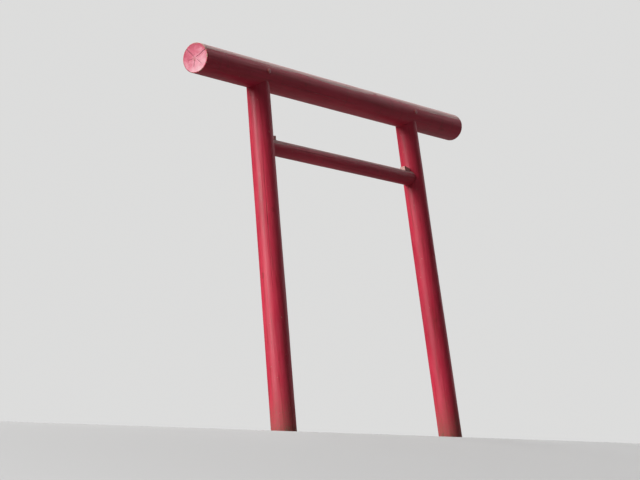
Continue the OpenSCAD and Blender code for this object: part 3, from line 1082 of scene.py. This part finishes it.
def tie_beam(materials, checks, knots):
    x0, x1 = TIE_END_X, SPAN - TIE_END_X
    length = x1 - x0
    calm = []
    log = Log(
        (x0, 0, TIE_Z), (1, 0, 0), (0, 0, -1), (0, 1, 0), TIE_D / 2, 0.0, length, 57,
        checks=checks, knots=knots, calm=calm, bow=0.0008, sunk=0.0012,
    )
    u = log.columns(104)
    n_cols = len(u)
    e = 0.003
    s = np.linspace(e, length - e, 250)
    th = u[None, :] + log.twist(s)[:, None]
    s2 = np.broadcast_to(s[:, None], th.shape).copy()
    pts, r, check, knot = log.surface(th, s2)
    # the flats that seat the wedges on the crown, cut only near the ends
    flat_z = SEAT_Z - 0.0001
    near = (pts[..., 0] < TIE_INNER_X + WEDGE_OUT + 0.006) | (pts[..., 0] > SPAN - TIE_INNER_X - WEDGE_OUT - 0.006)
    over = near & (pts[..., 2] > flat_z) & (np.abs(pts[..., 1]) < 0.03)
    pts[..., 2] = np.where(over, flat_z, pts[..., 2])

    def uv_of(th_, s__):
        return np.stack([(th_ + math.pi) / TAU * 0.985 + 0.0075, 0.01 + s__ / length * 0.82], -1)

    m = Mesh()
    ids = m.add(pts, check, knot, 0.0)
    uv = uv_of(np.concatenate([th, th[:, :1] + TAU], 1), np.concatenate([s2, s2[:, :1]], 1))
    m.quads(ids, uv, 0, closed=True)
    for low in (True, False):
        row = 0 if low else -1
        x_face = x0 if low else x1
        mid = np.array([0.11 if low else 0.30, 0.915])
        flat = pts[row] - log.centre(np.full(n_cols, s[row]))
        ring_prev = ids[row]
        last_uv = None
        for f in (0.94, 0.6, 0.25):
            p = log.centre(np.full(n_cols, s[row])) + flat * f
            p[:, 0] = x_face
            new = m.add(p)
            uvs = mid + flat[:, 1:] * f / (TIE_D / 2) * 0.07
            uvs = np.concatenate([uvs, uvs[:1]])
            if last_uv is None:
                last_uv = mid + flat[:, 1:] / (TIE_D / 2) * 0.07
                last_uv = np.concatenate([last_uv, last_uv[:1]])
            if low:
                m.quads(np.stack([new, ring_prev]), np.stack([uvs, last_uv]), 1, closed=True)
            else:
                m.quads(np.stack([ring_prev, new]), np.stack([last_uv, uvs]), 1, closed=True)
            ring_prev, last_uv = new, uvs
        hub = m.add(np.array([[x_face, 0, TIE_Z]]))[0]
        m.fan(ring_prev, hub, last_uv, mid, 1, flip=low)
    ob = m.build("tie_beam_log", materials)
    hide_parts("tie_beam")
    return ob


def peg(name, x, seed, materials):
    """A whittled round peg along Y: faint flats from the knife, and driven ends with a burred rim and a split."""
    n_cols = 72
    th = np.linspace(-math.pi, math.pi, n_cols, endpoint=False)
    half = PEG_L / 2
    rad = PEG_D / 2 - 0.00025
    m = Mesh()
    s = np.concatenate([[-half + PEG_CHAMFER], np.linspace(-half + 0.004, half - 0.004, 60), [half - PEG_CHAMFER]])
    c, n_ = np.cos(th)[None, :], np.sin(th)[None, :]
    flats = 0.00022 * (np.abs(noise(c * 2.6, n_ * 2.6, s[:, None] * 4, seed)) * 2 - 0.9)
    r = np.minimum(rad + flats - 0.0001, rad)
    pts = np.stack([x + r * c, np.broadcast_to(s[:, None], r.shape), BEAM_H + r * n_], -1)
    ids = m.add(pts)
    span = np.linspace(0.01, 0.99, n_cols + 1)
    uv = np.stack(np.broadcast_arrays(span[None, :], (0.02 + (s + half) / PEG_L * 0.55)[:, None]), -1)
    m.quads(ids[::-1], uv[::-1], 0, closed=True)
    for low in (True, False):
        row = 0 if low else -1
        way = -1 if low else 1
        mid = np.array([0.22 if low else 0.66, 0.80])
        ring_prev = ids[row]
        last_uv = None
        split = seed * 1.3 + (0 if low else 1.1)
        k = 0
        prof = [(0.992, 0.0018), (0.955, 0.0009), (0.90, 0.00035), (0.84, 0.0001)] + [(f, 0.0) for f in np.linspace(0.76, 0.06, 11)]
        for f, back in prof:
            rr = r[row] * f
            cc, nn = np.cos(th), np.sin(th)
            px, pz = rr * cc, rr * nn
            across = px * math.sin(split) - pz * math.cos(split)
            along = px * math.cos(split) + pz * math.sin(split)
            gap = np.clip(1 - np.abs(across - 0.0012 + 0.0007 * noise(px * 420, pz * 420, seed, seed)) / 0.0006, 0, 1) * (f < 0.9) * smooth(-0.003, 0.001, along) * (1 - smooth(0.009, 0.012, along))
            y = half - back - 0.0002 - 0.0003 * (1 + noise(px * 260, pz * 260, seed, seed + 3)) - 0.0006 * (1 + noise(px * 60, pz * 60, seed, seed + 4)) * f - 0.0014 * gap * (1 - f * 0.6)
            p = np.stack([x + px, way * y, BEAM_H + pz], 1)
            new = m.add(p, gap, 0, 0.9 if k < 3 else 0.1)
            uvs = mid + np.stack([cc, nn], 1) * f * 0.17
            uvs = np.concatenate([uvs, uvs[:1]])
            if last_uv is None:
                last_uv = mid + np.stack([cc, nn], 1) * 0.172
                last_uv = np.concatenate([last_uv, last_uv[:1]])
            if low:
                m.quads(np.stack([ring_prev, new]), np.stack([last_uv, uvs]), 1, closed=True)
            else:
                m.quads(np.stack([new, ring_prev]), np.stack([uvs, last_uv]), 1, closed=True)
            ring_prev, last_uv = new, uvs
            k += 1
        hub = m.add(np.array([[x, way * (half - 0.0018), BEAM_H]]), 0.8)[0]
        m.fan(ring_prev, hub, last_uv, mid, 1, flip=not low)
    ob = m.build(name + "_whittled", materials)
    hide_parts(name)
    return ob


def wedge(name, seed, mirror, materials):
    """A split wedge on the tie beam's crown: uneven riven faces, eased arrises and a head bruised by the mallet."""
    x_tip, x_head = TIE_END_X, TIE_INNER_X + WEDGE_OUT
    m = Mesh()
    # a rounded rectangle in Y and Z, swept along X
    per = 18
    half = WEDGE_W / 2

    def section(high, ease):
        pts = []
        corners = [(half, 0), (half, high), (-half, high), (-half, 0)]
        for k, (cy, cz) in enumerate(corners):
            ny, nz = corners[(k + 1) % 4]
            sy, sz = (1 if cy > 0 else -1), (1 if cz > 0 else -1)
            ccy, ccz = cy - sy * ease, cz - sz * ease
            a0 = {(1, -1): -math.pi / 2, (1, 1): 0, (-1, 1): math.pi / 2, (-1, -1): math.pi}[(sy, sz)]
            for q in np.linspace(0, math.pi / 2, 5):
                pts.append((ccy + ease * math.cos(a0 + q), ccz + ease * math.sin(a0 + q)))
            py, pz = pts[-1]
            sy2, sz2 = (1 if ny > 0 else -1), (1 if nz > 0 else -1)
            ty, tz = ny - sy2 * ease, nz - sz2 * ease
            b0 = {(1, -1): -math.pi / 2, (1, 1): 0, (-1, 1): math.pi / 2, (-1, -1): math.pi}[(sy2, sz2)]
            ey, ez = ty + ease * math.cos(b0), tz + ease * math.sin(b0)
            for q in np.linspace(0, 1, per, endpoint=False)[1:]:
                pts.append((py + (ey - py) * q, pz + (ez - pz) * q))
        return np.array(pts)

    s = np.concatenate([np.linspace(x_tip, x_head - 0.003, 44), [x_head - 0.0012, x_head - 0.0004, x_head]])
    rows, n_cols = [], None
    for x in s:
        f = (x - x_tip) / (x_head - x_tip)
        high = WEDGE_TIP + (WEDGE_HEAD - WEDGE_TIP) * f
        ease = 0.0012 + 0.0004 * math.sin(seed + x * 60)
        sec = section(high, ease)
        back = x_head - x
        grow = 1.0 if back > 0.0029 else (0.985 if back > 0.0009 else (0.955 if back > 0.0002 else 0.91))
        cz = high / 2
        y = sec[:, 0] * grow
        z = cz + (sec[:, 1] - cz) * grow
        rough_ = 0.0005 * noise(y * 95, z * 95, x * 14 + seed, seed) + 0.00022 * noise(y * 420, z * 420, x * 30, seed + 2)
        inner = 1 - 0.030 + rough_ * 26
        y = y * inner
        z = np.clip(cz + (z - cz) * inner, 0.0001, None)
        rows.append(np.stack([np.full(len(y), x), y, SEAT_Z + z], 1))
    pts = np.array(rows)
    n_cols = pts.shape[1]
    head = s[:, None] > x_head - 0.004
    grain_split = np.zeros(pts.shape[:2])
    ids = m.add(pts, grain_split, 0, np.where(head, 0.8, 0.05) * np.ones(pts.shape[:2]))
    span = np.linspace(0.01, 0.99, n_cols + 1)
    uv = np.stack(np.broadcast_arrays(span[None, :], (0.02 + (s - x_tip) / (x_head - x_tip) * 0.55)[:, None]), -1)
    m.quads(ids, uv, 0, closed=True)
    for low in (True, False):
        row = 0 if low else -1
        ring = pts[row]
        mid3 = ring.mean(0)
        mid = np.array([0.22 if low else 0.66, 0.80])
        ring_prev, last_uv = ids[row], None
        for f in np.linspace(0.86, 0.12, 9):
            p = mid3 + (ring - mid3) * f
            bruise = 0.0006 * (noise(p[:, 1] * 160, p[:, 2] * 160, seed, seed + 5) + 0.6) + 0.0006 * (1 - f)
            p[:, 0] += (-1 if not low else 1) * np.clip(bruise, 0, 1)
            new = m.add(p, 0, 0, 0.4 if f > 0.7 else 0.1)
            uvs = mid + (p[:, 1:] - mid3[1:]) * 7.0
            uvs = np.concatenate([uvs, uvs[:1]])
            if last_uv is None:
                last_uv = mid + (ring[:, 1:] - mid3[1:]) * 7.0
                last_uv = np.concatenate([last_uv, last_uv[:1]])
            if low:
                m.quads(np.stack([new, ring_prev]), np.stack([uvs, last_uv]), 1, closed=True)
            else:
                m.quads(np.stack([ring_prev, new]), np.stack([last_uv, uvs]), 1, closed=True)
            ring_prev, last_uv = new, uvs
        hub3 = mid3.copy()
        hub3[0] += (-1 if not low else 1) * 0.0011
        hub = m.add(hub3[None])[0]
        m.fan(ring_prev, hub, last_uv, mid, 1, flip=low)
    ob = m.build(name + "_split", materials, mirror=mirror, sharp=50)
    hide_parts(name)
    return ob


# ------------------------------------------------------------------ the gate

raw = bare_wood("raw_wood_z", "z", 2.0, 0.8)
raw_x = bare_wood("raw_wood_x", "x", 3.0, 0.8)
post_left_paint = painted_wood("post_paint_left", "z", 1.0, 0.0, True)
post_right_paint = painted_wood("post_paint_right", "z", 2.6, 0.0, True)
beam_paint = painted_wood("beam_paint", "x", 4.1, 1.0, False)
tie_paint = painted_wood("tie_paint", "x", 5.9, 0.8, False)
beam_end = end_grain("beam_end", (0, 0.007, BEAM_H - 0.006), 3.0)
peg_paint = bare_wood("peg_side", "y", 6.0, 1.0, 0.8)
peg_end = end_grain("peg_end", (SPAN / 2 - TOP_POST_X + 0.002, 0, BEAM_H - 0.001), 8.0, True)
wedge_side = bare_wood("wedge_side", "x", 7.0, 1.15, 0.55, 0.75)
wedge_end = bare_wood("wedge_end", "x", 9.0, 1.15, 0.35, 0.65)

# drying checks: (angle, from, to, depth, half width, where it is widest); knots: (angle, place, radius, height)
post(
    "left_post", 3, None, [post_left_paint, raw],
    checks=[
        (-1.75, 0.05, 1.05, 0.0065, 0.0016, "low"),
        (-2.55, 0.85, 1.75, 0.0045, 0.0011, "mid"),
        (2.20, 0.30, 1.60, 0.0075, 0.0019, "mid"),
        (1.35, 1.25, 2.05, 0.0040, 0.0010, "mid"),
    ],
    knots=[(-2.05, 1.38, 0.011, 0.0011), (-1.15, 0.62, 0.009, 0.0009), (2.9, 0.98, 0.012, 0.0011), (1.8, 1.86, 0.010, 0.0010), (0.6, 0.41, 0.010, 0.0010)],
)
post(
    "right_post", 11, SPAN, [post_right_paint, raw],
    checks=[
        (-2.30, 0.04, 0.92, 0.0070, 0.0017, "low"),
        (-1.30, 0.95, 1.62, 0.0040, 0.0010, "mid"),
        (1.90, 0.55, 1.90, 0.0070, 0.0018, "mid"),
        (2.75, 0.20, 0.85, 0.0040, 0.0011, "mid"),
    ],
    knots=[(-1.8, 1.12, 0.012, 0.0012), (-2.7, 1.72, 0.010, 0.0010), (2.35, 0.52, 0.011, 0.0011), (1.5, 1.43, 0.009, 0.0009), (-0.7, 0.82, 0.010, 0.0010)],
)
top_beam(
    [beam_paint, beam_end, raw_x],
    checks=[
        (-1.95, 0.0, 0.62, 0.0085, 0.0020, "low"),
        (-0.95, 0.70, 1.62, 0.0045, 0.0012, "mid"),
        (2.45, 0.0, 0.95, 0.0080, 0.0019, "low"),
        (1.10, 1.30, 2.25, 0.0050, 0.0012, "mid"),
        (-2.55, 2.15, 2.96, 0.0080, 0.0019, "high"),
    ],
    knots=[(-1.3, 1.02, 0.012, 0.0012), (-2.2, 1.86, 0.011, 0.0011), (2.0, 0.78, 0.013, 0.0012), (0.9, 2.05, 0.010, 0.0010), (-1.1, 0.21, 0.010, 0.0010), (-0.8, 2.72, 0.010, 0.0010)],
    end_checks=[
        [(-1.95, 0.004, 0.093, 0.0060, 0.0019), (2.45, 0.008, 0.093, 0.0055, 0.0017), (0.35, 0.010, 0.060, 0.0035, 0.0011), (1.45, 0.016, 0.070, 0.0030, 0.0010), (-0.75, 0.014, 0.066, 0.0030, 0.0010)],
        [(-2.55, 0.004, 0.093, 0.0060, 0.0019), (1.10, 0.010, 0.070, 0.0040, 0.0013), (-0.95, 0.012, 0.062, 0.0035, 0.0011), (2.45, 0.012, 0.058, 0.0030, 0.0010)],
    ],
)
tie_beam(
    [tie_paint, raw_x],
    checks=[(-1.6, 0.25, 1.05, 0.0040, 0.0011, "mid"), (2.2, 0.60, 1.50, 0.0045, 0.0012, "mid")],
    knots=[(-1.2, 1.22, 0.008, 0.0008), (-2.0, 0.42, 0.007, 0.0007), (1.6, 0.9, 0.008, 0.0008)],
)
peg("left_peg", TOP_POST_X, 5, [peg_paint, peg_end])
peg("right_peg", SPAN - TOP_POST_X, 8, [peg_paint, peg_end])
wedge("left_wedge", 4, None, [wedge_side, wedge_end])
wedge("right_wedge", 9, SPAN, [wedge_side, wedge_end])

# ------------------------------------------------------------------ stage, light and camera

# The floor is level under the gate and falls away in front of it, so that a camera below its level still sees the feet.
FALL, EASE, BEGIN = 0.42, 0.20, 0.11
FLOOR = (0.42, 0.415, 0.41)
BACKDROP, BACKDROP_LIGHT = (0.80, 0.80, 0.795), 0.90


def ground_z(y):
    d = np.maximum(-y - BEGIN, 0)
    return -(np.sqrt(EASE**2 + (FALL * d) ** 2) - EASE)


ys = np.concatenate([[150, 40, 12, 5, 2, 0.8, 0.2], -np.linspace(0.11, 2.2, 70), [-3, -5, -9, -20, -60, -150]])
xs = np.array([-150, -40, -12, -4, -1, 0, 0.965, 2, 4, 8, 20, 60, 150])
gx, gy = np.meshgrid(xs, ys)
gz = ground_z(gy)
floor_mesh = bpy.data.meshes.new("floor")
verts = np.stack([gx, gy, gz], -1).reshape(-1, 3)
cols = len(xs)
quads = []
for j in range(len(ys) - 1):
    for i in range(cols - 1):
        a = j * cols + i
        quads.append((a, a + cols, a + cols + 1, a + 1))
floor_mesh.from_pydata(verts.tolist(), [], quads)
floor_mesh.shade_smooth()
floor = bpy.data.objects.new("floor", floor_mesh)
bpy.context.scene.collection.objects.link(floor)
fl = Nodes("floor_pale")
fl.bsdf.inputs["Roughness"].default_value = 0.8
fl.bsdf.inputs["Specular IOR Level"].default_value = 0.15
fl.bsdf.inputs["Base Color"].default_value = (*FLOOR, 1)
# away from the gate the floor runs into the backdrop's own tone, as a studio sweep does
fx, fy, _ = fl.xyz()
far = fl.math("SQRT", fl.plus(fl.math("POWER", fl.plus(fx, -SPAN / 2), 2.0), fl.math("POWER", fy, 2.0)))
glow = fl.new("ShaderNodeEmission")
glow.inputs[0].default_value = (*BACKDROP, 1)
glow.inputs[1].default_value = BACKDROP_LIGHT
dim = fl.new("ShaderNodeBsdfDiffuse")
dim.inputs[0].default_value = (0.18, 0.176, 0.172, 1)
seen = fl.new("ShaderNodeLightPath").outputs["Is Camera Ray"]
sweep = fl.new("ShaderNodeMixShader")
fl.put(sweep.inputs[0], fl.step(far, 2.6, 9.0))
fl.put(sweep.inputs[1], fl.bsdf.outputs[0])
fl.put(sweep.inputs[2], glow.outputs[0])
both = fl.new("ShaderNodeMixShader")
fl.put(both.inputs[0], seen)
fl.put(both.inputs[1], dim.outputs[0])
fl.put(both.inputs[2], sweep.outputs[0])
fl.put(fl.out.inputs[0], both.outputs[0])
floor_mesh.materials.append(fl.mat)

world = bpy.data.worlds.new("studio")
bpy.context.scene.world = world
world.use_nodes = True
wt = world.node_tree
wt.nodes.clear()
w_out = wt.nodes.new("ShaderNodeOutputWorld")
w_mix = wt.nodes.new("ShaderNodeMixShader")
w_path = wt.nodes.new("ShaderNodeLightPath")
w_seen = wt.nodes.new("ShaderNodeBackground")
w_seen.inputs[0].default_value = (*BACKDROP, 1)
w_seen.inputs[1].default_value = BACKDROP_LIGHT
w_lit = wt.nodes.new("ShaderNodeBackground")
w_lit.inputs[0].default_value = (1.0, 0.97, 0.96, 1)
w_lit.inputs[1].default_value = 0.085
wt.links.new(w_path.outputs["Is Camera Ray"], w_mix.inputs[0])
wt.links.new(w_lit.outputs[0], w_mix.inputs[1])
wt.links.new(w_seen.outputs[0], w_mix.inputs[2])
wt.links.new(w_mix.outputs[0], w_out.inputs[0])


def lamp(name, bearing, height, strength, width, colour):
    """A very large soft light far off, so that it lies evenly over the floor. bearing is its compass direction from the gate, 0 along +X."""
    data = bpy.data.lights.new(name, "SUN")
    data.energy = strength
    data.angle = math.radians(width)
    data.color = colour
    ob = bpy.data.objects.new(name, data)
    b, h = math.radians(bearing), math.radians(height)
    towards = Vector((math.cos(b) * math.cos(h), math.sin(b) * math.cos(h), math.sin(h)))
    ob.location = towards * 9.0
    ob.rotation_mode = "QUATERNION"
    ob.rotation_quaternion = (-towards).to_track_quat("-Z", "Y")
    bpy.context.scene.collection.objects.link(ob)
    return ob


lamp("key", 163, 26, 3.7, 30, (1.0, 0.985, 0.97))
lamp("sky", 80, 72, 3.3, 72, (0.97, 0.985, 1.0))
lamp("side", -6, 28, 0.60, 50, (0.98, 0.985, 1.0))
lamp("fill", -115, 12, 0.10, 60, (0.97, 0.98, 1.0))

# the photograph's camera: its place against the gate, and its own bearing and pitch, turned the shortest way to face the gate
CAM = Vector((-10.03, -7.05, -1.18))
AIM = Vector((0.61, 0.0, 1.26))
yaw, pitch = math.radians(37.5), math.radians(26.6)
f0 = Vector((math.sin(yaw) * math.cos(pitch), math.cos(yaw) * math.cos(pitch), math.sin(pitch)))
r0 = Vector((math.cos(yaw), -math.sin(yaw), 0))
u0 = r0.cross(f0)
turn = f0.rotation_difference((AIM - CAM).normalized())
f1, r1, u1 = (turn @ v for v in (f0, r0, u0))
cam_data = bpy.data.cameras.new("camera")
cam_data.sensor_width = 36.0
cam_data.lens = 116.0
cam_data.clip_start, cam_data.clip_end = 0.1, 400
cam = bpy.data.objects.new("camera", cam_data)
cam.matrix_world = Matrix((
    (r1.x, u1.x, -f1.x, CAM.x),
    (r1.y, u1.y, -f1.y, CAM.y),
    (r1.z, u1.z, -f1.z, CAM.z),
    (0, 0, 0, 1),
))
bpy.context.scene.collection.objects.link(cam)
bpy.context.scene.camera = cam

bpy.context.scene.view_settings.view_transform = "Standard"
bpy.context.scene.view_settings.look = "None"
bpy.context.scene.view_settings.exposure = 0.0
